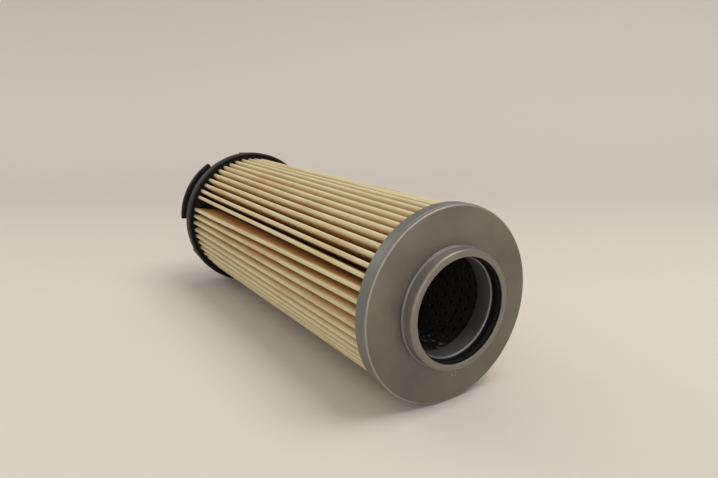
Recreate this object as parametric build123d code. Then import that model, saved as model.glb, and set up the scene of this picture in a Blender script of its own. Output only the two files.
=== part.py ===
from build123d import *
from math import cos, radians, sin, sqrt
import os

# Pleated return-line filter element, in millimetres. It stands on the tabs of its
# closed end, with +Z along its axis and out of the open end.

# Pleated media: one sheet of paper folded to and fro round the core
PLEATS = 56
PAPER = 0.6
TIP_FOLD = 1.05
ROOT_FOLD = 0.88
CREASE = 0.5
ROOT_GAP = 0.3
PACK_LENGTH = 196.9
PARTING_ANGLE = 324.2
FAR_LEAN = 0.7
FAR_PARTING_LEAN = 2.9
NEAR_LEAN = 1.3
NEAR_WAVE_LEAN = 2.0
NEAR_WAVES = 4
NEAR_WAVE_CREST = 4.5

# Perforated core tube
CORE_WALL = 0.8
CORE_FIT = 0.1
CORE_HOLE_RADIUS = 1.9
CORE_HOLES_ROUND = 6
CORE_HOLE_PITCH = 21.8
CORE_HOLE_MARGIN = 11.0

# Outlet: guide sleeve, seal ring and the collar over them
BORE_RADIUS = 20.0
SLEEVE_WALL = 0.8
SLEEVE_DROP = 7.0
SLEEVE_EDGE = 0.7
SLEEVE_FIT = 0.1
FLANGE_GAP = 0.3
SEAL_WIDTH = 2.7
SEAL_HEIGHT = 3.8
SEAL_CORNER = 1.2
SEAL_BORE_GAP = 0.42
SEAL_SIDE_GAP = 0.08
SEAL_TOP_GAP = 0.5
COLLAR_WALL = 0.8
COLLAR_BEND = 1.1
COLLAR_HEM_WIDTH = 0.7
COLLAR_HEM_HEIGHT = 0.9
LIP_CLEARANCE = 1.1

# Open end: pressed steel cap
NEAR_CAP_RADIUS = 40.0
NEAR_CAP_SHEET = 1.0
NEAR_CAP_SKIRT = 6.2
NEAR_CAP_BEND = 1.3
NEAR_TIP_GAP = 1.2

# Closed end: moulded cap with a ribbed neck and a bayonet foot
FAR_TIP_GAP = 2.95
FAR_RIM_WALL = 1.4
FAR_RIM_DEPTH = 4.3
FAR_RIM_EDGE = 0.5
FAR_WEB = 1.3
NECK_RADIUS = 34.0
NECK_HEIGHT = 15.6
NECK_WALL = 2.2
NECK_BOSS_RADIUS = 7.0
NECK_RIB = 1.8
RIB_RECESS = 3.0
TAB_THICKNESS = 3.0
TAB_REACH = 6.0
TAB_COUNT = 4
TAB_ARC = 58.0
TAB_FIRST = 45.0
TAB_CORNER = 1.8

# Potting beds that hold the ends of the pleats
FAR_BED = 2.8
NEAR_BED = 3.0

# Radii, from the bore outwards and from the caps inwards
sleeve_outside = BORE_RADIUS + SLEEVE_WALL
core_inside = sleeve_outside + CORE_FIT
core_outside = core_inside + CORE_WALL
root_radius = core_outside + ROOT_GAP
seal_inside = BORE_RADIUS + SEAL_BORE_GAP
collar_inside = seal_inside + SEAL_WIDTH + SEAL_SIDE_GAP
collar_outside = collar_inside + COLLAR_WALL
flange_outside = collar_inside - FLANGE_GAP
lip_inside = BORE_RADIUS + LIP_CLEARANCE
near_cap_inside = NEAR_CAP_RADIUS - NEAR_CAP_SHEET
tip_radius = near_cap_inside - NEAR_TIP_GAP
far_rim_inside = tip_radius + FAR_TIP_GAP
far_rim_outside = far_rim_inside + FAR_RIM_WALL
neck_inside = NECK_RADIUS - NECK_WALL
tab_outside = NECK_RADIUS + TAB_REACH

# Heights, from the foot upwards
far_floor = NECK_HEIGHT + FAR_WEB
near_ceiling = far_floor + PACK_LENGTH
near_face = near_ceiling + NEAR_CAP_SHEET
media_bottom = far_floor + FAR_BED
media_top = near_ceiling - NEAR_BED
flange_top = near_face + SLEEVE_WALL
seal_top = flange_top + SEAL_HEIGHT
lip_underside = seal_top + SEAL_TOP_GAP
collar_top = lip_underside + COLLAR_WALL


def disc(radius, bottom, height):
    """A plain disc on the axis."""
    return Pos(0, 0, bottom) * extrude(Circle(radius), height)


def ring(outer, inner, bottom, height):
    """A plain ring about the axis."""
    return Pos(0, 0, bottom) * extrude(Circle(outer) - Circle(inner), height)


def turned(points):
    """A ring turned about the axis from a closed outline of (radius, height) points."""
    return revolve(make_face(Plane.XZ * Polyline(*points, close=True)), Axis.Z)


def rim_edges(solid, radius, height):
    """The circular edges of a turned solid at one radius and height."""
    return [
        edge
        for edge in solid.edges().filter_by(GeomType.CIRCLE)
        if abs(edge.radius - radius) < 0.01 and abs(edge.center().Z - height) < 0.01
    ]


def on_circle(radius, degrees):
    """A point about the axis, in the plane of a section."""
    return Vector(radius * cos(radians(degrees)), radius * sin(radians(degrees)))


def make_bayonet_tab():
    """One tab of the foot, a sector with rounded outer corners, centred on +X."""
    root = NECK_RADIUS - NECK_WALL / 2
    half = TAB_ARC / 2
    outline = [
        ThreePointArc(on_circle(tab_outside, -half), on_circle(tab_outside, 0), on_circle(tab_outside, half)),
        Line(on_circle(tab_outside, half), on_circle(root, half)),
        ThreePointArc(on_circle(root, half), on_circle(root, 0), on_circle(root, -half)),
        Line(on_circle(root, -half), on_circle(tab_outside, -half)),
    ]
    face = make_face(outline)
    corners = [corner for corner in face.vertices() if Vector(corner.X, corner.Y).length > NECK_RADIUS]
    return extrude(fillet(corners, TAB_CORNER), TAB_THICKNESS)


def make_far_end_cap():
    """Closed moulded cap: rim and web above, hollow ribbed neck and bayonet tabs below."""
    dish = disc(far_rim_outside, NECK_HEIGHT, FAR_WEB + FAR_RIM_DEPTH)
    dish = fillet(dish.edges().filter_by(GeomType.CIRCLE), FAR_RIM_EDGE)
    dish -= disc(far_rim_inside, far_floor, FAR_RIM_DEPTH)
    rib_height = NECK_HEIGHT - RIB_RECESS
    boss_inside = NECK_BOSS_RADIUS - NECK_WALL
    rib = Pos(boss_inside + NECK_WALL / 2, 0, RIB_RECESS) * Box(
        neck_inside - boss_inside,
        NECK_RIB,
        rib_height,
        align=(Align.MIN, Align.CENTER, Align.MIN),
    )
    foot = ring(NECK_RADIUS, neck_inside, 0, NECK_HEIGHT)
    foot += ring(NECK_BOSS_RADIUS, boss_inside, RIB_RECESS, rib_height)
    tab = make_bayonet_tab()
    for index in range(TAB_COUNT):
        foot += Rot(0, 0, TAB_FIRST + index * 360 / TAB_COUNT) * (rib + tab)
    return foot + dish


def make_near_end_cap():
    """Pressed sheet cap: flat face with a bent skirt and a hole for the sleeve."""
    skirt_end = near_face - NEAR_CAP_SKIRT
    hole = sleeve_outside + SLEEVE_FIT
    cap = turned([
        (hole, near_ceiling),
        (near_cap_inside, near_ceiling),
        (near_cap_inside, skirt_end),
        (NEAR_CAP_RADIUS, skirt_end),
        (NEAR_CAP_RADIUS, near_face),
        (hole, near_face),
    ])
    return fillet(rim_edges(cap, NEAR_CAP_RADIUS, near_face), NEAR_CAP_BEND)


def make_seal_collar():
    """Deep-drawn collar on the face: hemmed foot, straight wall and in-turned lip."""
    hem_outside = collar_outside + COLLAR_HEM_WIDTH
    hem_top = near_face + COLLAR_HEM_HEIGHT
    collar = turned([
        (collar_inside, near_face),
        (hem_outside, near_face),
        (hem_outside, hem_top),
        (collar_outside, hem_top),
        (collar_outside, collar_top),
        (lip_inside, collar_top),
        (lip_inside, lip_underside),
        (collar_inside, lip_underside),
    ])
    collar = fillet(rim_edges(collar, collar_outside, collar_top), COLLAR_BEND)
    return fillet(rim_edges(collar, hem_outside, hem_top), COLLAR_HEM_WIDTH / 2)


def make_guide_sleeve():
    """Short sleeve that guides the outlet spigot, with a flange on the cap's face."""
    sleeve_end = near_face - SLEEVE_DROP
    sleeve = turned([
        (BORE_RADIUS, sleeve_end),
        (sleeve_outside, sleeve_end),
        (sleeve_outside, near_face),
        (flange_outside, near_face),
        (flange_outside, flange_top),
        (BORE_RADIUS, flange_top),
    ])
    return fillet(rim_edges(sleeve, BORE_RADIUS, flange_top), SLEEVE_EDGE)


def make_seal_ring():
    """Moulded rubber ring that lies on the sleeve's flange inside the collar."""
    centre = Pos(seal_inside + SEAL_WIDTH / 2, flange_top + SEAL_HEIGHT / 2)
    section = centre * RectangleRounded(SEAL_WIDTH, SEAL_HEIGHT, SEAL_CORNER)
    return revolve(Plane.XZ * section, Axis.Z)


def make_core_tube():
    """Perforated tube that carries the pleats, with staggered rings of holes."""
    tube = ring(core_outside, core_inside, far_floor, PACK_LENGTH)
    rings = int((PACK_LENGTH - 2 * CORE_HOLE_MARGIN) / CORE_HOLE_PITCH) + 1
    step = 360 / CORE_HOLES_ROUND
    drill = extrude(Plane.YZ * Circle(CORE_HOLE_RADIUS), core_outside + CORE_WALL)
    drills = []
    for level in range(rings):
        height = far_floor + CORE_HOLE_MARGIN + level * CORE_HOLE_PITCH
        for spot in range(CORE_HOLES_ROUND):
            drills.append(Pos(0, 0, height) * Rot(0, 0, (spot + level % 2 / 2) * step) * drill)
    return tube - drills


def tip_lean(index, at_far_end):
    """How far, in degrees, the tip of one pleat leans round from its own root."""
    if at_far_end:
        ahead = 1 if index < PLEATS / 2 else -1
        from_parting = min(index, PLEATS - 1 - index) / (PLEATS / 2)
        return FAR_LEAN + ahead * FAR_PARTING_LEAN * (1 - from_parting)
    wave = cos(radians(360 * NEAR_WAVES * (index - NEAR_WAVE_CREST) / PLEATS))
    return NEAR_LEAN + NEAR_WAVE_LEAN * wave


def flank(tip, tip_fold, root, root_fold, hand):
    """Ends of the line that touches a tip's fold on one hand and a root's on the other."""
    along = root - tip
    span = along.length
    along = along / span
    across = along.rotate(Axis.Z, 90)
    dip = (tip_fold + root_fold) / span
    normal = along * dip + across * (hand * sqrt(1 - dip * dip))
    return tip + normal * tip_fold, root - normal * root_fold


def fold(start, crown, end, radius):
    """The bend between two flanks: round on its outside, a narrow flat inside a crease."""
    return ThreePointArc(start, crown, end) if radius > CREASE else Line(start, end)


def pleat_contour(tip_fold, root_fold, height, at_far_end):
    """One side of the folded sheet as a closed wire of flanks and folds."""
    pitch = 360 / PLEATS
    lift = Vector(0, 0, height)
    tips = []
    roots = []
    for index in range(PLEATS):
        angle = PARTING_ANGLE + (index + 0.5) * pitch
        tips.append(on_circle(tip_radius - TIP_FOLD, angle + tip_lean(index, at_far_end)))
        roots.append(on_circle(root_radius + ROOT_FOLD, angle + pitch / 2))
    edges = []
    for index in range(PLEATS):
        tip, before, after = tips[index], roots[index - 1], roots[index]
        following = tips[(index + 1) % PLEATS]
        rise = flank(tip, tip_fold, before, root_fold, 1)
        fall = flank(tip, tip_fold, after, root_fold, -1)
        climb = flank(following, tip_fold, after, root_fold, 1)
        crown = tip + (tip * 2 - before - after).normalized() * tip_fold
        trough = after + (after * 2 - tip - following).normalized() * root_fold
        edges.append(fold(rise[0] + lift, crown + lift, fall[0] + lift, tip_fold))
        edges.append(Line(fall[0] + lift, fall[1] + lift))
        edges.append(fold(fall[1] + lift, trough + lift, climb[1] + lift, root_fold))
        edges.append(Line(climb[1] + lift, climb[0] + lift))
    return Wire(edges)


def make_pleated_media():
    """Folded sheet, ruled from end to end: even roots, with tips that lean and part."""
    ends = [(media_bottom, True), (media_top, False)]
    sides = []
    caps = []
    for folds in ((TIP_FOLD, ROOT_FOLD - PAPER), (TIP_FOLD - PAPER, ROOT_FOLD)):
        contours = [pleat_contour(*folds, *end) for end in ends]
        skin = Solid.make_loft(contours, ruled=True)
        sides += [face for face in skin.faces() if face.bounding_box().size.Z > PAPER]
        caps.append([Face(contour) for contour in contours])
    lids = [outer - inner for outer, inner in zip(*caps)]
    return Solid(Shell(sides + lids)).fix()


def make_potting_bed(bottom, height, outside):
    """Cast ring of adhesive between the core tube and an end cap's wall."""
    return ring(outside, core_outside, bottom, height)


parts = {
    "far_end_cap": make_far_end_cap(),
    "far_adhesive": make_potting_bed(far_floor, FAR_BED, far_rim_inside),
    "core_tube": make_core_tube(),
    "pleated_media": make_pleated_media(),
    "near_adhesive": make_potting_bed(media_top, NEAR_BED, near_cap_inside),
    "near_end_cap": make_near_end_cap(),
    "guide_sleeve": make_guide_sleeve(),
    "seal_ring": make_seal_ring(),
    "seal_collar": make_seal_collar(),
}
os.makedirs("parts", exist_ok=True)
for name, shape in parts.items():
    export_step(shape, f"parts/{name}.step")
    print(name, round(shape.volume), shape.bounding_box().size)
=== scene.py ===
import bpy
import bmesh
from math import atan2, cos, pi, radians, sin, sqrt
from mathutils import Matrix, Vector, noise


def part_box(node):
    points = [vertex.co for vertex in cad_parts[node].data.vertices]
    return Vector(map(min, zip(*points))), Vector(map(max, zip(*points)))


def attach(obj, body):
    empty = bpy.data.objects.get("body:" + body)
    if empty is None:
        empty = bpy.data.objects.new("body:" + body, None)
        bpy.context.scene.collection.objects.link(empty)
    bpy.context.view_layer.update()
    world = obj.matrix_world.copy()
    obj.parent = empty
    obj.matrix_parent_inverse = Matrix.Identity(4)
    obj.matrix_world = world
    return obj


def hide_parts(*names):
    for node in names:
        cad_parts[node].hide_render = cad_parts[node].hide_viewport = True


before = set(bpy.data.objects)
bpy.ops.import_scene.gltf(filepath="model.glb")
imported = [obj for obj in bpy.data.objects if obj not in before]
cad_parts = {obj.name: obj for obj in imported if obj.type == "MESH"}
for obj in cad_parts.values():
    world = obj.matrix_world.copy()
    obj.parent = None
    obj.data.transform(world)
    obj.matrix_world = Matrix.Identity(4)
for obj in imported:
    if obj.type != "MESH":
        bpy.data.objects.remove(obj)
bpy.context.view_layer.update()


# ---- Camera and table -------------------------------------------------------
# The element lies on its side on a pale table, with its open end towards the viewer.
# It is modelled standing on its foot, so the table is a sheet of card along its side,
# swept up far behind it. From below, the card is clear and hides nothing.
EYE = Vector((0.1176, -0.1140, 0.3713))
LOOKING = Vector((-0.4440, 0.3728, -0.8148)).normalized()
UPWARDS = Vector((-0.3792, -0.9022, -0.2060)).normalized()
LENS = 29.08
SENSOR = 36
TABLE_SIDE = radians(75)
TABLE_REACH = 2.6
SWEEP_START = 0.55
SWEEP_RADIUS = 0.35
SHADE_START = 0.05
SHADE_END = 0.40
TABLE_COLOUR = (0.685, 0.645, 0.60, 1)
BACKDROP_PAINTED_SHADE = (0.58, 0.55, 0.515, 1)

camera = bpy.data.objects.new("camera", bpy.data.cameras.new("camera"))
bpy.context.scene.collection.objects.link(camera)
camera.data.sensor_width = SENSOR
camera.data.lens = LENS
turn = Matrix((LOOKING.cross(UPWARDS), UPWARDS, -LOOKING)).transposed().to_4x4()
camera.matrix_world = Matrix.Translation(EYE) @ turn
bpy.context.scene.camera = camera
bpy.context.scene.view_settings.view_transform = "Standard"

# Both end caps touch the table, and the closed one is a little larger.
side = Vector((cos(TABLE_SIDE), sin(TABLE_SIDE), 0))
_, far_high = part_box("far_end_cap")
_, near_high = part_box("near_end_cap")
far_touch = side * far_high.x + Vector((0, 0, far_high.z))
near_touch = side * near_high.x + Vector((0, 0, near_high.z))
along = (near_touch - far_touch).normalized()
table_up = -(side - along * side.dot(along)).normalized()
away = (LOOKING - table_up * LOOKING.dot(table_up)).normalized()
across = away.cross(table_up)


def deselect():
    """Nothing stays selected or active before an operator runs."""
    if bpy.context.object and bpy.context.object.mode != "OBJECT":
        bpy.ops.object.mode_set(mode="OBJECT")
    bpy.ops.object.select_all(action="DESELECT")


deselect()
bpy.ops.mesh.primitive_grid_add(x_subdivisions=8, y_subdivisions=96, size=2 * TABLE_REACH)
table = bpy.context.object
table.name = "table"
centre = (far_touch + near_touch) / 2
for vertex in table.data.vertices:
    reach = vertex.co.y
    bend = min(max((reach - SWEEP_START) / SWEEP_RADIUS, 0), pi / 2)
    out = min(reach, SWEEP_START) + SWEEP_RADIUS * sin(bend)
    rise = SWEEP_RADIUS * (1 - cos(bend)) + max(reach - SWEEP_START - SWEEP_RADIUS * pi / 2, 0)
    vertex.co = centre + across * vertex.co.x + away * out + table_up * rise
bpy.ops.object.shade_smooth()


def new_material(name):
    """An empty node material with one shader, which the caller then wires up."""
    material = bpy.data.materials.new(name)
    material.use_nodes = True
    nodes = material.node_tree.nodes
    links = material.node_tree.links
    nodes.clear()
    shader = nodes.new("ShaderNodeBsdfPrincipled")
    output = nodes.new("ShaderNodeOutputMaterial")
    links.new(shader.outputs[0], output.inputs[0])
    return material, nodes, links, shader


material, nodes, links, shader = new_material("table_card")
shader.inputs["Roughness"].default_value = 0.9
place = nodes.new("ShaderNodeTexCoord")
depth = nodes.new("ShaderNodeVectorMath")
depth.operation = "DOT_PRODUCT"
depth.inputs[1].default_value = away
# Painted shade: the card's colour darkens from the table colour to a darker one as it runs away
# from the camera, towards the sweep.
shade = nodes.new("ShaderNodeMapRange")
shade.inputs["From Min"].default_value = centre.dot(away) + SHADE_START
shade.inputs["From Max"].default_value = centre.dot(away) + SHADE_END
mix = nodes.new("ShaderNodeMix")
mix.data_type = "RGBA"
mix.inputs["A"].default_value = TABLE_COLOUR
mix.inputs["B"].default_value = BACKDROP_PAINTED_SHADE
links.new(place.outputs["Object"], depth.inputs[0])
links.new(depth.outputs["Value"], shade.inputs["Value"])
links.new(shade.outputs["Result"], mix.inputs["Factor"])
links.new(mix.outputs["Result"], shader.inputs["Base Color"])
geometry = nodes.new("ShaderNodeNewGeometry")
clear = nodes.new("ShaderNodeBsdfTransparent")
one_sided = nodes.new("ShaderNodeMixShader")
links.new(geometry.outputs["Backfacing"], one_sided.inputs[0])
links.new(shader.outputs[0], one_sided.inputs[1])
links.new(clear.outputs[0], one_sided.inputs[2])
links.new(one_sided.outputs[0], nodes["Material Output"].inputs[0])
table.data.materials.append(material)


# ---- Closed end cap ---------------------------------------------------------
# One black plastic moulding: a shallow dish that the pleats are potted in, and below
# it a hollow neck with a ribbed boss, which ends in the four tabs of a bayonet foot.
MM = 0.001
TURN_STEPS = 180
BOSS_STEPS = 64
CORNER_STEPS = 4
SHARP = radians(35)
BEVEL_FROM = radians(40)
AT_AXIS = 0.001
FAR_RIM = 42.15
FAR_RIM_WALL = 1.4
FAR_BACK = 15.6
FAR_FLOOR = 16.9
FAR_LIP = 21.2
NECK = 34.0
NECK_WALL = 2.2
TAB_RADIUS = 40.8
TAB_DEPTH = 3.0
TAB_HALF_ARC = radians(29)
TAB_FIRST = radians(45)
TAB_EDGE = 0.5
TABS = 4
BOSS = 7.0
RIB = 1.8
BITE = 1.0
PLASTIC_DARK = (0.009, 0.0086, 0.0082, 1)
PLASTIC_PALE = (0.021, 0.020, 0.019, 1)
PLASTIC_TAB_PAINTED_SHADE = (0.003, 0.0028, 0.0026, 1)


def rounded(outline):
    """Points of a closed outline of (radius, height, corner radius), corners as arcs."""
    points = []
    count = len(outline)
    for index, (radius, height, corner) in enumerate(outline):
        here = Vector((radius, height))
        if corner == 0:
            points.append(here)
            continue
        before = (Vector(outline[index - 1][:2]) - here).normalized()
        after = (Vector(outline[(index + 1) % count][:2]) - here).normalized()
        half = before.angle(after) / 2
        hub = here + (before + after).normalized() * corner / sin(half)
        start = here + before * corner / (sin(half) / cos(half)) - hub
        swing = start.angle_signed(here + after * corner / (sin(half) / cos(half)) - hub)
        for step in range(CORNER_STEPS + 1):
            part = -swing * step / CORNER_STEPS
            spoke = Vector((
                start.x * cos(part) - start.y * sin(part),
                start.x * sin(part) + start.y * cos(part),
            ))
            points.append(hub + spoke)
    return points


def turn_piece(name, outline, steps=TURN_STEPS):
    """A ring spun about the element's axis from a closed outline in millimetres."""
    points = [Vector((p.x * MM, 0, p.y * MM)) for p in rounded(outline)]
    mesh = bpy.data.meshes.new(name)
    edges = [(index, (index + 1) % len(points)) for index in range(len(points))]
    mesh.from_pydata(points, edges, [])
    piece = bpy.data.objects.new(name, mesh)
    bpy.context.scene.collection.objects.link(piece)
    deselect()
    piece.select_set(True)
    bpy.context.view_layer.objects.active = piece
    bpy.ops.object.mode_set(mode="EDIT")
    bpy.ops.mesh.select_all(action="SELECT")
    bpy.ops.mesh.spin(steps=steps, angle=2 * pi, center=(0, 0, 0), axis=(0, 0, 1))
    bpy.ops.mesh.select_all(action="SELECT")
    bpy.ops.mesh.remove_doubles(threshold=1e-6)
    bpy.ops.mesh.normals_make_consistent(inside=False)
    bpy.ops.object.mode_set(mode="OBJECT")
    bpy.ops.object.shade_smooth_by_angle(angle=SHARP)
    return piece


def dress(piece, material, slot, *nodes_replaced):
    """The piece's finish, the body it rides on and the CAD nodes it stands for."""
    piece.data.materials.clear()
    piece.data.materials.append(material)
    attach(piece, "root")
    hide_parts(*nodes_replaced)


def join(pieces, name):
    """One piece made of several closed parts."""
    deselect()
    for part in pieces:
        part.select_set(True)
    bpy.context.view_layer.objects.active = pieces[0]
    bpy.ops.object.join()
    joined = bpy.context.object
    joined.name = name
    joined.data.name = name
    return joined


def bevel(piece, width, segments=3):
    """Rounds every edge sharper than a mild angle."""
    modifier = piece.modifiers.new("bevel", "BEVEL")
    modifier.width = width
    modifier.segments = segments
    modifier.limit_method = "ANGLE"
    modifier.angle_limit = BEVEL_FROM
    deselect()
    piece.select_set(True)
    bpy.context.view_layer.objects.active = piece
    bpy.ops.object.modifier_apply(modifier="bevel")
    bpy.ops.object.shade_smooth_by_angle(angle=SHARP)


dish = turn_piece("far_dish", [
    (AT_AXIS, FAR_BACK, 0),
    (FAR_RIM, FAR_BACK, 0.6),
    (FAR_RIM, FAR_LIP, 0.5),
    (FAR_RIM - FAR_RIM_WALL, FAR_LIP, 0.4),
    (FAR_RIM - FAR_RIM_WALL, FAR_FLOOR, 0.3),
    (AT_AXIS, FAR_FLOOR, 0),
])
neck = turn_piece("far_neck", [
    (NECK - NECK_WALL, 0, 0.4),
    (NECK, 0, 0.4),
    (NECK, FAR_BACK, 0),
    (NECK - NECK_WALL, FAR_BACK, 0),
])
boss = turn_piece("far_boss", [
    (BOSS - NECK_WALL, TAB_DEPTH, 0.4),
    (BOSS, TAB_DEPTH, 0.4),
    (BOSS, FAR_BACK, 0),
    (BOSS - NECK_WALL, FAR_BACK, 0),
], BOSS_STEPS)
moulding = [dish, neck, boss]
rib_size = (NECK - NECK_WALL - BOSS + BITE, RIB, FAR_BACK - TAB_DEPTH)
rib_middle = ((NECK - NECK_WALL + BOSS) / 2, 0, (TAB_DEPTH + FAR_BACK) / 2)
for index in range(TABS):
    heading = TAB_FIRST + index * 2 * pi / TABS
    deselect()
    bpy.ops.mesh.primitive_cube_add(size=1, location=Vector(rib_middle) * MM)
    rib = bpy.context.object
    rib.scale = Vector(rib_size) * MM
    bpy.ops.object.transform_apply(location=True, rotation=False, scale=True)
    rib.data.transform(Matrix.Rotation(heading, 4, "Z"))
    moulding.append(rib)
    deselect()
    bpy.ops.mesh.primitive_grid_add(x_subdivisions=24, y_subdivisions=2, size=2)
    tab = bpy.context.object
    for vertex in tab.data.vertices:
        spread = vertex.co.x * TAB_HALF_ARC
        outward = (1 + vertex.co.y) / 2
        reach = (NECK - BITE) * (1 - outward) + TAB_RADIUS * outward
        vertex.co = Vector((reach * cos(heading - spread), reach * sin(heading - spread), 0)) * MM
    bpy.ops.object.mode_set(mode="EDIT")
    bpy.ops.mesh.select_all(action="SELECT")
    bpy.ops.mesh.extrude_region_move(TRANSFORM_OT_translate={"value": (0, 0, TAB_DEPTH * MM)})
    bpy.ops.mesh.select_all(action="SELECT")
    bpy.ops.mesh.normals_make_consistent(inside=False)
    bpy.ops.object.mode_set(mode="OBJECT")
    bevel(tab, TAB_EDGE * MM)
    moulding.append(tab)
far_cap = join(moulding, "closed_end_cap")


def wash(material, by_radius, start, end, colour):
    """Lays a colour over a finish from one radius, or height, to another."""
    nodes = material.node_tree.nodes
    links = material.node_tree.links
    shader = nodes["Principled BSDF"]
    under = shader.inputs["Base Color"].links[0].from_socket
    place = nodes.new("ShaderNodeTexCoord")
    split = nodes.new("ShaderNodeSeparateXYZ")
    links.new(place.outputs["Object"], split.inputs[0])
    measure = split.outputs["Z"]
    if by_radius:
        flat = nodes.new("ShaderNodeCombineXYZ")
        reach = nodes.new("ShaderNodeVectorMath")
        reach.operation = "LENGTH"
        links.new(split.outputs["X"], flat.inputs["X"])
        links.new(split.outputs["Y"], flat.inputs["Y"])
        links.new(flat.outputs[0], reach.inputs[0])
        measure = reach.outputs["Value"]
    share = nodes.new("ShaderNodeMapRange")
    share.inputs["From Min"].default_value = start * MM
    share.inputs["From Max"].default_value = end * MM
    mix = nodes.new("ShaderNodeMix")
    mix.data_type = "RGBA"
    mix.inputs["B"].default_value = colour
    links.new(measure, share.inputs["Value"])
    links.new(share.outputs["Result"], mix.inputs["Factor"])
    links.new(under, mix.inputs["A"])
    links.new(mix.outputs["Result"], shader.inputs["Base Color"])


material, nodes, links, shader = new_material("black_moulded_plastic")
place = nodes.new("ShaderNodeTexCoord")
cloud = nodes.new("ShaderNodeTexNoise")
cloud.inputs["Scale"].default_value = 90
cloud.inputs["Detail"].default_value = 5
ramp = nodes.new("ShaderNodeValToRGB")
ramp.color_ramp.elements[0].color = PLASTIC_DARK
ramp.color_ramp.elements[1].color = PLASTIC_PALE
ramp.color_ramp.elements[0].position = 0.35
ramp.color_ramp.elements[1].position = 0.75
grain = nodes.new("ShaderNodeTexNoise")
grain.inputs["Scale"].default_value = 1400
bump = nodes.new("ShaderNodeBump")
bump.inputs["Strength"].default_value = 0.25
bump.inputs["Distance"].default_value = 0.0001
shader.inputs["Roughness"].default_value = 0.5
shader.inputs["Specular IOR Level"].default_value = 0.3
links.new(place.outputs["Object"], cloud.inputs["Vector"])
links.new(place.outputs["Object"], grain.inputs["Vector"])
links.new(cloud.outputs["Fac"], ramp.inputs["Fac"])
links.new(ramp.outputs["Color"], shader.inputs["Base Color"])
links.new(grain.outputs["Fac"], bump.inputs["Height"])
links.new(bump.outputs["Normal"], shader.inputs["Normal"])
# Painted shade: everything below the tabs' top, the tabs and the foot of the neck, boss and ribs,
# is darkened almost to black.
wash(material, False, start=TAB_DEPTH + 0.5, end=TAB_DEPTH, colour=PLASTIC_TAB_PAINTED_SHADE)
dress(far_cap, material, "black_moulding", "far_end_cap")


# ---- Potting beds -----------------------------------------------------------
# Black adhesive poured into each end cap and cured there. It holds the ends of the
# pleats and of the core tube, and creeps a little way up the cap's wall.
CORE_OUTSIDE = 21.7
FAR_BED = 19.7
NEAR_CEILING = 213.8
NEAR_BED = 210.8
NEAR_CAP = 40.0
NEAR_SHEET = 1.0
CREEP_UP = 0.5
CREEP_IN = 0.8
POTTING = (0.005, 0.0045, 0.004, 1)

far_wall = FAR_RIM - FAR_RIM_WALL
far_bed = turn_piece("far_potting", [
    (CORE_OUTSIDE, FAR_FLOOR, 0),
    (far_wall, FAR_FLOOR, 0),
    (far_wall, FAR_BED + CREEP_UP, 0),
    (far_wall - CREEP_IN, FAR_BED, 0.5),
    (CORE_OUTSIDE, FAR_BED, 0),
])
near_wall = NEAR_CAP - NEAR_SHEET
near_bed = turn_piece("near_potting", [
    (CORE_OUTSIDE, NEAR_BED, 0),
    (near_wall - CREEP_IN, NEAR_BED, 0.5),
    (near_wall, NEAR_BED - CREEP_UP, 0),
    (near_wall, NEAR_CEILING, 0),
    (CORE_OUTSIDE, NEAR_CEILING, 0),
])
material, nodes, links, shader = new_material("cured_black_adhesive")
place = nodes.new("ShaderNodeTexCoord")
ripple = nodes.new("ShaderNodeTexNoise")
ripple.inputs["Scale"].default_value = 260
bump = nodes.new("ShaderNodeBump")
bump.inputs["Strength"].default_value = 0.5
bump.inputs["Distance"].default_value = 0.0004
shader.inputs["Base Color"].default_value = POTTING
shader.inputs["Roughness"].default_value = 0.45
shader.inputs["Specular IOR Level"].default_value = 0.25
links.new(place.outputs["Object"], ripple.inputs["Vector"])
links.new(ripple.outputs["Fac"], bump.inputs["Height"])
links.new(bump.outputs["Normal"], shader.inputs["Normal"])
dress(far_bed, material, "potting", "far_adhesive")
dress(near_bed, material, "potting", "near_adhesive")


# ---- Perforated core tube ---------------------------------------------------
# Thin black steel, punched flat with staggered rows of small holes, then rolled into
# a tube and closed by a lengthwise lock seam. It keeps the pleats from collapsing.
CORE_INSIDE = 20.9
HOLES_ROUND = 27
HOLE_RADIUS = 1.1
RING_PITCH = 4.7
RING_PAIRS = 20
SEAM_AT = radians(84)
SEAM_HALF_WIDTH = 2.4
SEAM_STEP = 0.45
SEAM_FOLD = 0.4
SEAM_LOW_SHARE = 0.45
CORE_DARK = (0.020, 0.019, 0.017, 1)
CORE_PALE = (0.045, 0.043, 0.038, 1)
SEAM_DARK = (0.03, 0.029, 0.027, 1)
SEAM_PAINTED_GLINT = (0.27, 0.25, 0.22, 1)
CELL_EDGE = (
    (-2, -1), (-1, -1), (0, -1), (1, -1), (2, -1), (2, 0),
    (2, 1), (1, 1), (0, 1), (-1, 1), (-2, 1), (-2, 0),
)

cell_width = 2 * pi * CORE_INSIDE / HOLES_ROUND
holes_height = 2 * RING_PAIRS * RING_PITCH
holes_bottom = (FAR_FLOOR + NEAR_CEILING - holes_height) / 2


def punched_cell(left, bottom):
    """Corners of one cell of sheet, then of the round hole in its middle."""
    middle = Vector((left + cell_width / 2, bottom + RING_PITCH / 2))
    outer = [middle + Vector((x * cell_width / 4, y * RING_PITCH / 2)) for x, y in CELL_EDGE]
    hole = [middle + (point - middle).normalized() * HOLE_RADIUS for point in outer]
    return [(point.x, point.y, 0) for point in outer + hole]


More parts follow.
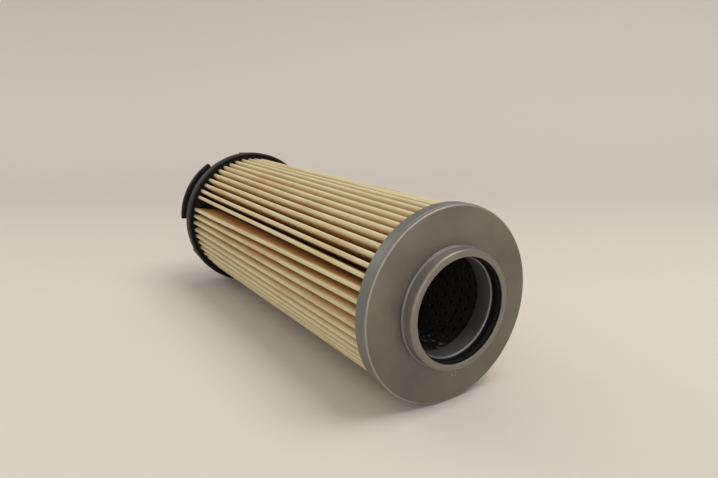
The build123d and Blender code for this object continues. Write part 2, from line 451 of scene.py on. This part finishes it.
verts = []
faces = []
for row in range(2):
    base = len(verts)
    verts += punched_cell(row * cell_width / 2, row * RING_PITCH)
    hole_base = base + len(CELL_EDGE)
    for index in range(len(CELL_EDGE)):
        after = (index + 1) % len(CELL_EDGE)
        faces.append((base + index, base + after, hole_base + after, hole_base + index))
mesh = bpy.data.meshes.new("core")
mesh.from_pydata(verts, [], faces)
core = bpy.data.objects.new("core_tube_perforated", mesh)
bpy.context.scene.collection.objects.link(core)
deselect()
core.select_set(True)
bpy.context.view_layer.objects.active = core
repeats = (
    (HOLES_ROUND, (cell_width, 0, 0)),
    (RING_PAIRS, (0, 2 * RING_PITCH, 0)),
)
for count, offset in repeats:
    array = core.modifiers.new("array", "ARRAY")
    array.count = count
    array.use_relative_offset = False
    array.use_constant_offset = True
    array.constant_offset_displace = offset
    bpy.ops.object.modifier_apply(modifier="array")
bpy.ops.object.mode_set(mode="EDIT")
bpy.ops.mesh.select_mode(type="VERT")
bpy.ops.mesh.select_all(action="SELECT")
bpy.ops.mesh.remove_doubles(threshold=0.01)
plain_ends = (
    (0, FAR_FLOOR - holes_bottom),
    (holes_height, NEAR_CEILING - holes_bottom - holes_height),
)
for edge_height, rise in plain_ends:
    bpy.ops.mesh.select_all(action="DESELECT")
    sheet = bmesh.from_edit_mesh(core.data)
    for vertex in sheet.verts:
        vertex.select = abs(vertex.co.y - edge_height) < 0.01
    sheet.select_flush(True)
    bmesh.update_edit_mesh(core.data)
    bpy.ops.mesh.extrude_edges_move(TRANSFORM_OT_translate={"value": (0, rise, 0)})
bpy.ops.object.mode_set(mode="OBJECT")
for vertex in core.data.vertices:
    turn_by = vertex.co.x / CORE_INSIDE
    height = holes_bottom + vertex.co.y
    vertex.co = Vector((CORE_INSIDE * cos(turn_by), CORE_INSIDE * sin(turn_by), height)) * MM
bpy.ops.object.mode_set(mode="EDIT")
bpy.ops.mesh.select_all(action="SELECT")
bpy.ops.mesh.remove_doubles(threshold=1e-5)
bpy.ops.object.mode_set(mode="OBJECT")
wall = core.modifiers.new("wall", "SOLIDIFY")
wall.thickness = (CORE_OUTSIDE - CORE_INSIDE) * MM
wall.offset = 1
bpy.ops.object.modifier_apply(modifier="wall")
bpy.ops.object.shade_smooth_by_angle(angle=SHARP)

deselect()
bpy.ops.mesh.primitive_grid_add(x_subdivisions=6, y_subdivisions=24, size=2)
seam = bpy.context.object
seam.name = "core_lock_seam"
half_length = (NEAR_CEILING - FAR_FLOOR) / 2
for vertex in seam.data.vertices:
    sideways = vertex.co.x * SEAM_HALF_WIDTH
    folded = vertex.co.x < SEAM_FOLD
    radius = CORE_INSIDE - SEAM_STEP * (1 if folded else SEAM_LOW_SHARE)
    angle = SEAM_AT + sideways / CORE_INSIDE
    height = FAR_FLOOR + half_length * (1 + vertex.co.y)
    vertex.co = Vector((radius * cos(angle), radius * sin(angle), height)) * MM
bpy.ops.object.mode_set(mode="EDIT")
bpy.ops.mesh.select_all(action="SELECT")
bpy.ops.mesh.flip_normals()
bpy.ops.object.mode_set(mode="OBJECT")
wall = seam.modifiers.new("wall", "SOLIDIFY")
wall.thickness = SEAM_STEP * MM
wall.offset = -1
bpy.ops.object.modifier_apply(modifier="wall")

material, nodes, links, shader = new_material("black_punched_steel")
place = nodes.new("ShaderNodeTexCoord")
cloud = nodes.new("ShaderNodeTexNoise")
cloud.inputs["Scale"].default_value = 160
ramp = nodes.new("ShaderNodeValToRGB")
ramp.color_ramp.elements[0].color = CORE_DARK
ramp.color_ramp.elements[1].color = CORE_PALE
shader.inputs["Metallic"].default_value = 0.3
shader.inputs["Roughness"].default_value = 0.38
links.new(place.outputs["Object"], cloud.inputs["Vector"])
links.new(cloud.outputs["Fac"], ramp.inputs["Fac"])
links.new(ramp.outputs["Color"], shader.inputs["Base Color"])
dress(core, material, "black_steel", "core_tube")

# Painted highlight: bright flecks laid into the seam's colour stand in for glints of light on it.
material, nodes, links, shader = new_material("seam_steel_painted_glints")
place = nodes.new("ShaderNodeTexCoord")
glint_flecks = nodes.new("ShaderNodeTexNoise")
glint_flecks.inputs["Scale"].default_value = 420
glint_flecks.inputs["Detail"].default_value = 3
ramp = nodes.new("ShaderNodeValToRGB")
ramp.color_ramp.elements[0].color = SEAM_DARK
ramp.color_ramp.elements[1].color = SEAM_PAINTED_GLINT
ramp.color_ramp.elements[0].position = 0.50
ramp.color_ramp.elements[1].position = 0.66
bump = nodes.new("ShaderNodeBump")
bump.inputs["Strength"].default_value = 0.6
bump.inputs["Distance"].default_value = 0.0003
shader.inputs["Metallic"].default_value = 0.4
shader.inputs["Roughness"].default_value = 0.35
links.new(place.outputs["Object"], glint_flecks.inputs["Vector"])
links.new(glint_flecks.outputs["Fac"], ramp.inputs["Fac"])
links.new(ramp.outputs["Color"], shader.inputs["Base Color"])
links.new(glint_flecks.outputs["Fac"], bump.inputs["Height"])
links.new(bump.outputs["Normal"], shader.inputs["Normal"])
dress(seam, material, "black_steel", "core_tube")


# ---- Pleated media ----------------------------------------------------------
# One strip of cream resin-set filter paper, folded to and fro and joined end to end
# round the core. The roots sit evenly, while the tips lean and part in one place.
PLEATS = 56
PAPER = 0.6
FAR_TIP_RADIUS = 38.9
NEAR_TIP_RADIUS = 38.4
TIP_FOLD = 0.68
ROOT_RADIUS = 22.0
ROOT_FOLD = 0.58
PARTING = 324.2
FAR_PARTING_LEAN = 2.9
FAR_LEAN = 0.7
NEAR_LEAN = 1.3
NEAR_WAVE_LEAN = 2.0
NEAR_WAVES = 4
NEAR_WAVE_CREST = 4.5
STRAY_LEAN = 0.9
STRAY_REACH = 0.35
LEAN_PATTERN = (3.7, 1.6, 4.2)
REACH_PATTERN = (5.1, 1.3, 9.4)
TIP_STEPS = 6
FLANK_STEPS = 4
ROOT_STEPS = 4
LENGTH_STEPS = 22
PAPER_CREAM = (0.67, 0.595, 0.365, 1)
PAPER_TAN_GAP_SHADE = (0.75, 0.455, 0.175, 1)
PAPER_BROWN_GAP_SHADE = (0.54, 0.285, 0.095, 1)
PAPER_ROOT_SHADE = (0.036, 0.013, 0.005, 1)
PAPER_RUST = (0.54, 0.31, 0.14, 1)
GAP_SHADE_FULL_BELOW_TIP = 3.2
GAP_SHADE_ENDS_BELOW_TIP = 0.8
DARK_TO = 22.6
LIT_FROM = 26.2
CREPE_PITCH = 1.5
BEDDED = 0.6
FOLD_SMOOTH = radians(50)

media_bottom = FAR_BED - BEDDED
media_top = NEAR_BED + BEDDED


def stray(index, share, pattern):
    """Smooth noise that differs from pleat to pleat and drifts along the length."""
    per_pleat, per_length, seed = pattern
    return noise.noise(Vector((index * per_pleat, share * per_length, seed)))


def tip_lean(index, share):
    """How far, in degrees, a tip leans from its root at a share of the length up."""
    ahead = 1 if index < PLEATS / 2 else -1
    from_parting = min(index, PLEATS - 1 - index) / (PLEATS / 2)
    far = FAR_LEAN + ahead * FAR_PARTING_LEAN * (1 - from_parting)
    wave = cos(radians(360 * NEAR_WAVES * (index - NEAR_WAVE_CREST) / PLEATS))
    near = NEAR_LEAN + NEAR_WAVE_LEAN * wave
    return far * (1 - share) + near * share + STRAY_LEAN * stray(index, share, LEAN_PATTERN)


def polar(radius, turned_by):
    """A point about the axis, in the plane of a section."""
    return Vector((radius * cos(radians(turned_by)), radius * sin(radians(turned_by))))


def touch(tip, root, hand):
    """Ends of the straight flank that touches a tip's fold and a root's on one side."""
    line = root - tip
    span = line.length
    line = line / span
    dip = (TIP_FOLD + ROOT_FOLD) / span
    normal = line * dip + Vector((-line.y, line.x)) * hand * sqrt(1 - dip * dip)
    return tip + normal * TIP_FOLD, root - normal * ROOT_FOLD


def arc(hub, start, end, steps, clockwise):
    """Points round a fold from start to end about its centre, ends included."""
    first = atan2(start.y - hub.y, start.x - hub.x)
    last = atan2(end.y - hub.y, end.x - hub.x)
    sweep = (first - last) % (2 * pi) if clockwise else -((last - first) % (2 * pi))
    radius = (start - hub).length
    headings = [first - sweep * step / steps for step in range(steps + 1)]
    return [hub + Vector((cos(angle), sin(angle))) * radius for angle in headings]


def folded_section(share):
    """The paper's middle line at one height, all round, as it runs from fold to fold."""
    pitch = 360 / PLEATS
    start = PARTING + pitch / 2
    tip_radius = FAR_TIP_RADIUS * (1 - share) + NEAR_TIP_RADIUS * share
    tips = []
    roots = []
    for index in range(PLEATS):
        angle = start + index * pitch
        reach = tip_radius - TIP_FOLD - PAPER / 2
        reach += STRAY_REACH * (stray(index, share, REACH_PATTERN) - 0.5)
        tips.append(polar(reach, angle + tip_lean(index, share)))
        roots.append(polar(ROOT_RADIUS + ROOT_FOLD + PAPER / 2, angle + pitch / 2))
    points = []
    for index in range(PLEATS):
        tip, before, after = tips[index], roots[index - 1], roots[index]
        following = tips[(index + 1) % PLEATS]
        rise = touch(tip, before, 1)
        fall = touch(tip, after, -1)
        climb = touch(following, after, 1)
        points += arc(tip, rise[0], fall[0], TIP_STEPS, False)
        points += [fall[0].lerp(fall[1], step / FLANK_STEPS) for step in range(1, FLANK_STEPS)]
        points += arc(after, fall[1], climb[1], ROOT_STEPS, True)
        points += [climb[1].lerp(climb[0], step / FLANK_STEPS) for step in range(1, FLANK_STEPS)]
    return points


sections = [folded_section(step / LENGTH_STEPS) for step in range(LENGTH_STEPS + 1)]
columns = len(sections[0])
deselect()
bpy.ops.mesh.primitive_grid_add(x_subdivisions=columns, y_subdivisions=LENGTH_STEPS, size=2)
media = bpy.context.object
media.name = "pleated_paper"
for vertex in media.data.vertices:
    column = round((vertex.co.x + 1) / 2 * columns)
    level = round((vertex.co.y + 1) / 2 * LENGTH_STEPS)
    point = sections[level][column % columns]
    height = media_bottom + (media_top - media_bottom) * level / LENGTH_STEPS
    vertex.co = Vector((point.x, point.y, height)) * MM
bpy.ops.object.mode_set(mode="EDIT")
bpy.ops.mesh.select_all(action="SELECT")
bpy.ops.mesh.remove_doubles(threshold=1e-7)
bpy.ops.object.mode_set(mode="OBJECT")
paper = media.modifiers.new("paper", "SOLIDIFY")
paper.thickness = PAPER * MM
paper.offset = 0
bpy.ops.object.modifier_apply(modifier="paper")
bpy.ops.object.shade_smooth_by_angle(angle=FOLD_SMOOTH)

material, nodes, links, shader = new_material("resin_set_filter_paper")
place = nodes.new("ShaderNodeTexCoord")
split = nodes.new("ShaderNodeSeparateXYZ")
flat = nodes.new("ShaderNodeCombineXYZ")
reach = nodes.new("ShaderNodeVectorMath")
reach.operation = "LENGTH"
# Painted shade: below the tips the paper turns from cream to tan and brown, banded by the crepe,
# as the gaps between pleats fall into shade.
gap_shade_fade = nodes.new("ShaderNodeMapRange")
gap_shade_fade.inputs["From Min"].default_value = (NEAR_TIP_RADIUS - GAP_SHADE_FULL_BELOW_TIP) * MM
gap_shade_fade.inputs["From Max"].default_value = (NEAR_TIP_RADIUS - GAP_SHADE_ENDS_BELOW_TIP) * MM
colour = nodes.new("ShaderNodeMix")
colour.data_type = "RGBA"
colour.inputs["B"].default_value = PAPER_CREAM
# Painted shade: near the roots, round the core, the paper is darkened almost to black.
rootward = nodes.new("ShaderNodeMapRange")
rootward.inputs["From Min"].default_value = DARK_TO * MM
rootward.inputs["From Max"].default_value = LIT_FROM * MM
shadowed = nodes.new("ShaderNodeMix")
shadowed.data_type = "RGBA"
shadowed.inputs["A"].default_value = PAPER_ROOT_SHADE
stretch = nodes.new("ShaderNodeMapping")
stretch.inputs["Scale"].default_value = (1, 1, 0.35)
fibre = nodes.new("ShaderNodeTexNoise")
fibre.inputs["Scale"].default_value = 900
fibre.inputs["Detail"].default_value = 6
fibre.inputs["Roughness"].default_value = 0.65
mottle = nodes.new("ShaderNodeTexNoise")
mottle.inputs["Scale"].default_value = 70
mottle.inputs["Detail"].default_value = 4
shade = nodes.new("ShaderNodeMapRange")
shade.inputs["To Min"].default_value = 0.86
shade.inputs["To Max"].default_value = 1.10
crepe = nodes.new("ShaderNodeTexWave")
crepe.wave_type = "BANDS"
crepe.bands_direction = "Z"
crepe.inputs["Scale"].default_value = 2 * pi / (20 * CREPE_PITCH * MM)
crepe.inputs["Distortion"].default_value = 2.5
crepe.inputs["Detail"].default_value = 2
ribbed_gap_shade = nodes.new("ShaderNodeMix")
ribbed_gap_shade.data_type = "RGBA"
ribbed_gap_shade.inputs["A"].default_value = PAPER_BROWN_GAP_SHADE
ribbed_gap_shade.inputs["B"].default_value = PAPER_TAN_GAP_SHADE
long_stain = nodes.new("ShaderNodeMapping")
long_stain.inputs["Scale"].default_value = (1, 1, 0.12)
stain = nodes.new("ShaderNodeTexNoise")
stain.inputs["Scale"].default_value = 210
stain.inputs["Detail"].default_value = 3
stained = nodes.new("ShaderNodeMapRange")
stained.inputs["From Min"].default_value = 0.50
stained.inputs["From Max"].default_value = 0.72
stained.inputs["To Max"].default_value = 0.55
rust = nodes.new("ShaderNodeMix")
rust.data_type = "RGBA"
rust.inputs["B"].default_value = PAPER_RUST
tone = nodes.new("ShaderNodeVectorMath")
tone.operation = "SCALE"
bump = nodes.new("ShaderNodeBump")
bump.inputs["Strength"].default_value = 0.35
bump.inputs["Distance"].default_value = 0.00012
shader.inputs["Roughness"].default_value = 0.82
links.new(place.outputs["Object"], split.inputs[0])
links.new(split.outputs["X"], flat.inputs["X"])
links.new(split.outputs["Y"], flat.inputs["Y"])
links.new(flat.outputs[0], reach.inputs[0])
links.new(reach.outputs["Value"], gap_shade_fade.inputs["Value"])
links.new(gap_shade_fade.outputs["Result"], colour.inputs["Factor"])
links.new(reach.outputs["Value"], rootward.inputs["Value"])
links.new(rootward.outputs["Result"], shadowed.inputs["Factor"])
links.new(colour.outputs["Result"], rust.inputs["A"])
links.new(place.outputs["Object"], stretch.inputs["Vector"])
links.new(stretch.outputs["Vector"], fibre.inputs["Vector"])
links.new(place.outputs["Object"], mottle.inputs["Vector"])
links.new(mottle.outputs["Fac"], shade.inputs["Value"])
links.new(place.outputs["Object"], crepe.inputs["Vector"])
links.new(crepe.outputs["Fac"], ribbed_gap_shade.inputs["Factor"])
links.new(ribbed_gap_shade.outputs["Result"], colour.inputs["A"])
links.new(place.outputs["Object"], long_stain.inputs["Vector"])
links.new(long_stain.outputs["Vector"], stain.inputs["Vector"])
links.new(stain.outputs["Fac"], stained.inputs["Value"])
links.new(stained.outputs["Result"], rust.inputs["Factor"])
links.new(rust.outputs["Result"], shadowed.inputs["B"])
links.new(shadowed.outputs["Result"], tone.inputs[0])
links.new(shade.outputs["Result"], tone.inputs["Scale"])
links.new(tone.outputs["Vector"], shader.inputs["Base Color"])
links.new(fibre.outputs["Fac"], bump.inputs["Height"])
links.new(bump.outputs["Normal"], shader.inputs["Normal"])
dress(media, material, "filter_paper", "pleated_media")


# ---- Open end cap -----------------------------------------------------------
# Pressed from dull zinc-plated sheet steel: a flat face with its rim bent back over
# the ends of the pleats, and a hole in the middle for the sleeve. Its bend carries a
# painted highlight in a paler colour, its skirt a cooler grey painted reflection, and
# the face has a few bright flecks near the collar.
NEAR_FACE = 214.8
NEAR_SKIRT = 208.6
SLEEVE_OUTSIDE = 20.8
SLEEVE_GAP = 0.1
FINE_STEPS = 256
SHOULDER_DROP = 1.5
SHOULDER_STEP = 0.18
ZINC_DARK = (0.146, 0.139, 0.115, 1)
ZINC_PALE = (0.214, 0.203, 0.168, 1)
ZINC_EDGE_HIGHLIGHT = (0.32, 0.31, 0.27, 1)
ZINC_SKIRT_REFLECTION = (0.200, 0.208, 0.194, 1)
SCUFF_COLOUR = (0.55, 0.55, 0.52, 1)
SCUFF_CENTRE = (0.0061, 0.0286, 0.2148)
SCUFF_REACH = 0.009

near_cap = turn_piece("open_end_cap", [
    (SLEEVE_OUTSIDE + SLEEVE_GAP, NEAR_CEILING, 0),
    (NEAR_CAP - NEAR_SHEET, NEAR_CEILING, 0.4),
    (NEAR_CAP - NEAR_SHEET, NEAR_SKIRT, 0.2),
    (NEAR_CAP, NEAR_SKIRT, 0.3),
    (NEAR_CAP, NEAR_FACE - SHOULDER_DROP, 0.15),
    (NEAR_CAP - SHOULDER_STEP, NEAR_FACE - SHOULDER_DROP + SHOULDER_STEP, 0.15),
    (NEAR_CAP - SHOULDER_STEP, NEAR_FACE, 0.7),
    (SLEEVE_OUTSIDE + SLEEVE_GAP, NEAR_FACE, 0),
], FINE_STEPS)


def zinc_plate(name, dark, pale, roughness):
    """Dull plated steel: cloudy grey with a fine rolling grain."""
    material, nodes, links, shader = new_material(name)
    place = nodes.new("ShaderNodeTexCoord")
    cloud = nodes.new("ShaderNodeTexNoise")
    cloud.inputs["Scale"].default_value = 45
    cloud.inputs["Detail"].default_value = 6
    ramp = nodes.new("ShaderNodeValToRGB")
    ramp.color_ramp.elements[0].color = dark
    ramp.color_ramp.elements[1].color = pale
    ramp.color_ramp.elements[0].position = 0.3
    ramp.color_ramp.elements[1].position = 0.7
    grain = nodes.new("ShaderNodeTexNoise")
    grain.inputs["Scale"].default_value = 1100
    grain.inputs["Detail"].default_value = 3
    gloss = nodes.new("ShaderNodeMapRange")
    gloss.inputs["To Min"].default_value = roughness - 0.08
    gloss.inputs["To Max"].default_value = roughness + 0.10
    bump = nodes.new("ShaderNodeBump")
    bump.inputs["Strength"].default_value = 0.2
    bump.inputs["Distance"].default_value = 0.00005
    shader.inputs["Metallic"].default_value = 0.75
    links.new(place.outputs["Object"], cloud.inputs["Vector"])
    links.new(place.outputs["Object"], grain.inputs["Vector"])
    links.new(cloud.outputs["Fac"], ramp.inputs["Fac"])
    links.new(ramp.outputs["Color"], shader.inputs["Base Color"])
    links.new(cloud.outputs["Fac"], gloss.inputs["Value"])
    links.new(gloss.outputs["Result"], shader.inputs["Roughness"])
    links.new(grain.outputs["Fac"], bump.inputs["Height"])
    links.new(bump.outputs["Normal"], shader.inputs["Normal"])
    return material


def scuff(material, centre, reach, colour):
    """Adds a small patch of bright rubbed flecks round a point on the plating."""
    nodes = material.node_tree.nodes
    links = material.node_tree.links
    shader = nodes["Principled BSDF"]
    plate = shader.inputs["Base Color"].links[0].from_socket
    place = nodes.new("ShaderNodeTexCoord")
    offset = nodes.new("ShaderNodeVectorMath")
    offset.operation = "DISTANCE"
    offset.inputs[1].default_value = centre
    near = nodes.new("ShaderNodeMapRange")
    near.inputs["From Min"].default_value = 0
    near.inputs["From Max"].default_value = reach
    near.inputs["To Min"].default_value = 0.17
    near.inputs["To Max"].default_value = -0.1
    flecks = nodes.new("ShaderNodeTexNoise")
    flecks.inputs["Scale"].default_value = 900
    flecks.inputs["Detail"].default_value = 4
    lifted = nodes.new("ShaderNodeMath")
    lifted.operation = "ADD"
    cut = nodes.new("ShaderNodeMapRange")
    cut.inputs["From Min"].default_value = 0.72
    cut.inputs["From Max"].default_value = 0.80
    mix = nodes.new("ShaderNodeMix")
    mix.data_type = "RGBA"
    mix.inputs["B"].default_value = colour
    links.new(place.outputs["Object"], offset.inputs[0])
    links.new(offset.outputs["Value"], near.inputs["Value"])
    links.new(place.outputs["Object"], flecks.inputs["Vector"])
    links.new(near.outputs["Result"], lifted.inputs[0])
    links.new(flecks.outputs["Fac"], lifted.inputs[1])
    links.new(lifted.outputs[0], cut.inputs["Value"])
    links.new(cut.outputs["Result"], mix.inputs["Factor"])
    links.new(plate, mix.inputs["A"])
    links.new(mix.outputs["Result"], shader.inputs["Base Color"])


face_finish = zinc_plate("dull_zinc_face", ZINC_DARK, ZINC_PALE, roughness=0.5)
# Painted highlight: the face's rounded edge is made paler than the rest of the plating.
wash(face_finish, True, start=NEAR_CAP - 1.0, end=NEAR_CAP - 0.7, colour=ZINC_EDGE_HIGHLIGHT)
# Painted reflection: the skirt below the face is tinted a cooler grey.
wash(face_finish, False, start=NEAR_FACE - 0.25, end=NEAR_FACE - 0.6, colour=ZINC_SKIRT_REFLECTION)
scuff(face_finish, SCUFF_CENTRE, SCUFF_REACH, SCUFF_COLOUR)
dress(near_cap, face_finish, "grey_steel", "near_end_cap")


# ---- Guide sleeve -----------------------------------------------------------
# A short plated tube that the filter head's spigot slides into. Its top is rolled
# outwards into a flange that lies on the cap's face.
BORE = 20.0
SLEEVE_END = 207.8
FLANGE_RADIUS = 22.9
FLANGE_TOP = 215.6
SLEEVE_DARK = (0.17, 0.168, 0.165, 1)
SLEEVE_PALE = (0.23, 0.228, 0.22, 1)
SLEEVE_EDGE_HIGHLIGHT = (0.21, 0.215, 0.21, 1)

sleeve = turn_piece("guide_sleeve_rolled", [
    (BORE, SLEEVE_END, 0.2),
    (SLEEVE_OUTSIDE, SLEEVE_END, 0.2),
    (SLEEVE_OUTSIDE, NEAR_FACE, 0),
    (FLANGE_RADIUS, NEAR_FACE, 0.3),
    (FLANGE_RADIUS, FLANGE_TOP, 0.3),
    (BORE, FLANGE_TOP, 0.7),
])
sleeve_finish = zinc_plate("bright_zinc_sleeve", SLEEVE_DARK, SLEEVE_PALE, roughness=0.48)
# Painted highlight: a band just under the flange's top is tinted lighter than the sleeve's wall.
wash(sleeve_finish, False, start=FLANGE_TOP - 1.5, end=FLANGE_TOP - 0.9, colour=SLEEVE_EDGE_HIGHLIGHT)
dress(sleeve, sleeve_finish, "bright_steel", "guide_sleeve")


# ---- Seal ring --------------------------------------------------------------
# Moulded ring of black nitrile rubber, dropped into the collar so that it rests on the
# sleeve's flange and grips the spigot.
SEAL_INSIDE = 20.42
SEAL_OUTSIDE = 23.12
SEAL_HEIGHT = 3.8
SEAL_CORNER = 1.2
RUBBER = (0.004, 0.004, 0.004, 1)

seal = turn_piece("seal_ring_rubber", [
    (SEAL_INSIDE, FLANGE_TOP, SEAL_CORNER),
    (SEAL_OUTSIDE, FLANGE_TOP, SEAL_CORNER),
    (SEAL_OUTSIDE, FLANGE_TOP + SEAL_HEIGHT, SEAL_CORNER),
    (SEAL_INSIDE, FLANGE_TOP + SEAL_HEIGHT, SEAL_CORNER),
])
material, nodes, links, shader = new_material("nitrile_rubber")
place = nodes.new("ShaderNodeTexCoord")
cloud = nodes.new("ShaderNodeTexNoise")
cloud.inputs["Scale"].default_value = 300
gloss = nodes.new("ShaderNodeMapRange")
gloss.inputs["To Min"].default_value = 0.6
gloss.inputs["To Max"].default_value = 0.8
shader.inputs["Base Color"].default_value = RUBBER
shader.inputs["Specular IOR Level"].default_value = 0.15
links.new(place.outputs["Object"], cloud.inputs["Vector"])
links.new(cloud.outputs["Fac"], gloss.inputs["Value"])
links.new(gloss.outputs["Result"], shader.inputs["Roughness"])
dress(seal, material, "seal_rubber", "seal_ring")


# ---- Seal collar ------------------------------------------------------------
# Drawn from the same plated sheet and fixed to the face. A narrow hem runs round its
# foot, and its top turns inwards as a lip that traps the seal ring.
COLLAR = 24.0
COLLAR_WALL = 0.8
COLLAR_TOP = 220.7
COLLAR_HOLE = 21.1
HEM_RADIUS = 24.7
HEM_TOP = 215.7
COLLAR_DARK = (0.24, 0.236, 0.212, 1)
COLLAR_PALE = (0.33, 0.322, 0.29, 1)
LIP_PAINTED_SHADE = (0.225, 0.215, 0.182, 1)
HEM_PAINTED_SHADE = (0.185, 0.190, 0.180, 1)

collar = turn_piece("seal_collar_drawn", [
    (COLLAR - COLLAR_WALL, NEAR_FACE, 0),
    (HEM_RADIUS, NEAR_FACE, 0),
    (HEM_RADIUS, HEM_TOP, 0.35),
    (COLLAR, HEM_TOP, 0.25),
    (COLLAR, COLLAR_TOP, 1.1),
    (COLLAR_HOLE, COLLAR_TOP, 0.25),
    (COLLAR_HOLE, COLLAR_TOP - COLLAR_WALL, 0.25),
    (COLLAR - COLLAR_WALL, COLLAR_TOP - COLLAR_WALL, 0.4),
], FINE_STEPS)
collar_finish = zinc_plate("dull_zinc_collar", COLLAR_DARK, COLLAR_PALE, roughness=0.45)
# Painted shade: the collar's lip and the outside of its hem are toned darker than its wall, the
# hem a cooler grey.
wash(collar_finish, False, start=COLLAR_TOP - 1.1, end=COLLAR_TOP - 0.3, colour=LIP_PAINTED_SHADE)
wash(collar_finish, True, start=COLLAR + 0.1, end=COLLAR + 0.4, colour=HEM_PAINTED_SHADE)
dress(collar, collar_finish, "collar_steel", "seal_collar")


# ---- Light ------------------------------------------------------------------
# A pale room with one broad lamp above and to the right of the element, a weak one
# high on the left and a low one in front, on top of the room's own even light.
AIM_HEIGHT = 0.11
ROOM_COLOUR = (0.70, 0.67, 0.63, 1)
ROOM_STRENGTH = 0.78


def area_lamp(name, direction, distance, size, power, colour):
    """A square lamp aimed at the middle of the element."""
    lamp = bpy.data.objects.new(name, bpy.data.lights.new(name, "AREA"))
    lamp.data.size = size
    lamp.data.energy = power
    lamp.data.color = colour
    aim = Vector((0, 0, AIM_HEIGHT))
    lamp.location = aim + direction.normalized() * distance
    lamp.rotation_euler = (lamp.location - aim).to_track_quat("Z", "Y").to_euler()
    bpy.context.scene.collection.objects.link(lamp)


area_lamp(
    "overhead", table_up + across * 0.45 - away * 0.15,
    distance=2.0, size=1.2, power=19, colour=(1.0, 0.97, 0.93),
)
area_lamp(
    "left_wash", table_up * 0.7 - across + away * 0.5,
    distance=1.7, size=0.7, power=4, colour=(1.0, 0.97, 0.92),
)
area_lamp(
    "front_fill", table_up * 0.12 - away + across * 0.25,
    distance=2.0, size=1.4, power=13, colour=(1.0, 0.98, 0.95),
)

world = bpy.data.worlds.new("pale_room")
bpy.context.scene.world = world
world.use_nodes = True
nodes = world.node_tree.nodes
links = world.node_tree.links
nodes.clear()
background = nodes.new("ShaderNodeBackground")
background.inputs["Color"].default_value = ROOM_COLOUR
background.inputs["Strength"].default_value = ROOM_STRENGTH
output = nodes.new("ShaderNodeOutputWorld")
links.new(background.outputs[0], output.inputs[0])
